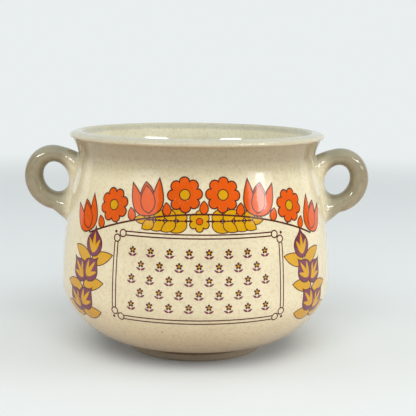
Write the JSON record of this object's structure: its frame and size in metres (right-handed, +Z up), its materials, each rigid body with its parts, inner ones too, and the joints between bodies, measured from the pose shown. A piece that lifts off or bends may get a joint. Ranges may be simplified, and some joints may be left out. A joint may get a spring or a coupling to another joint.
{
  "type": "soup crock",
  "caption": "Round-bellied glazed stoneware soup crock with a flared lip, a turned foot ring and an ear handle on each side.",
  "frame": {"origin": "on the table plane, under the middle of the foot ring", "axes": "+Z up through the mouth, +X along the line of the two handles, -Y towards the decorated front"},
  "size_m": [0.156, 0.1214, 0.098],
  "materials": {
    "glaze": "glossy cream glaze with fine brown specks over stoneware",
    "handle_glaze": "glossy cream glaze with fine brown specks over stoneware"
  },
  "bodies": {
    "root": {"pot": "glaze", "handle_left": "handle_glaze", "handle_right": "handle_glaze"}
  },
  "joints": []
}
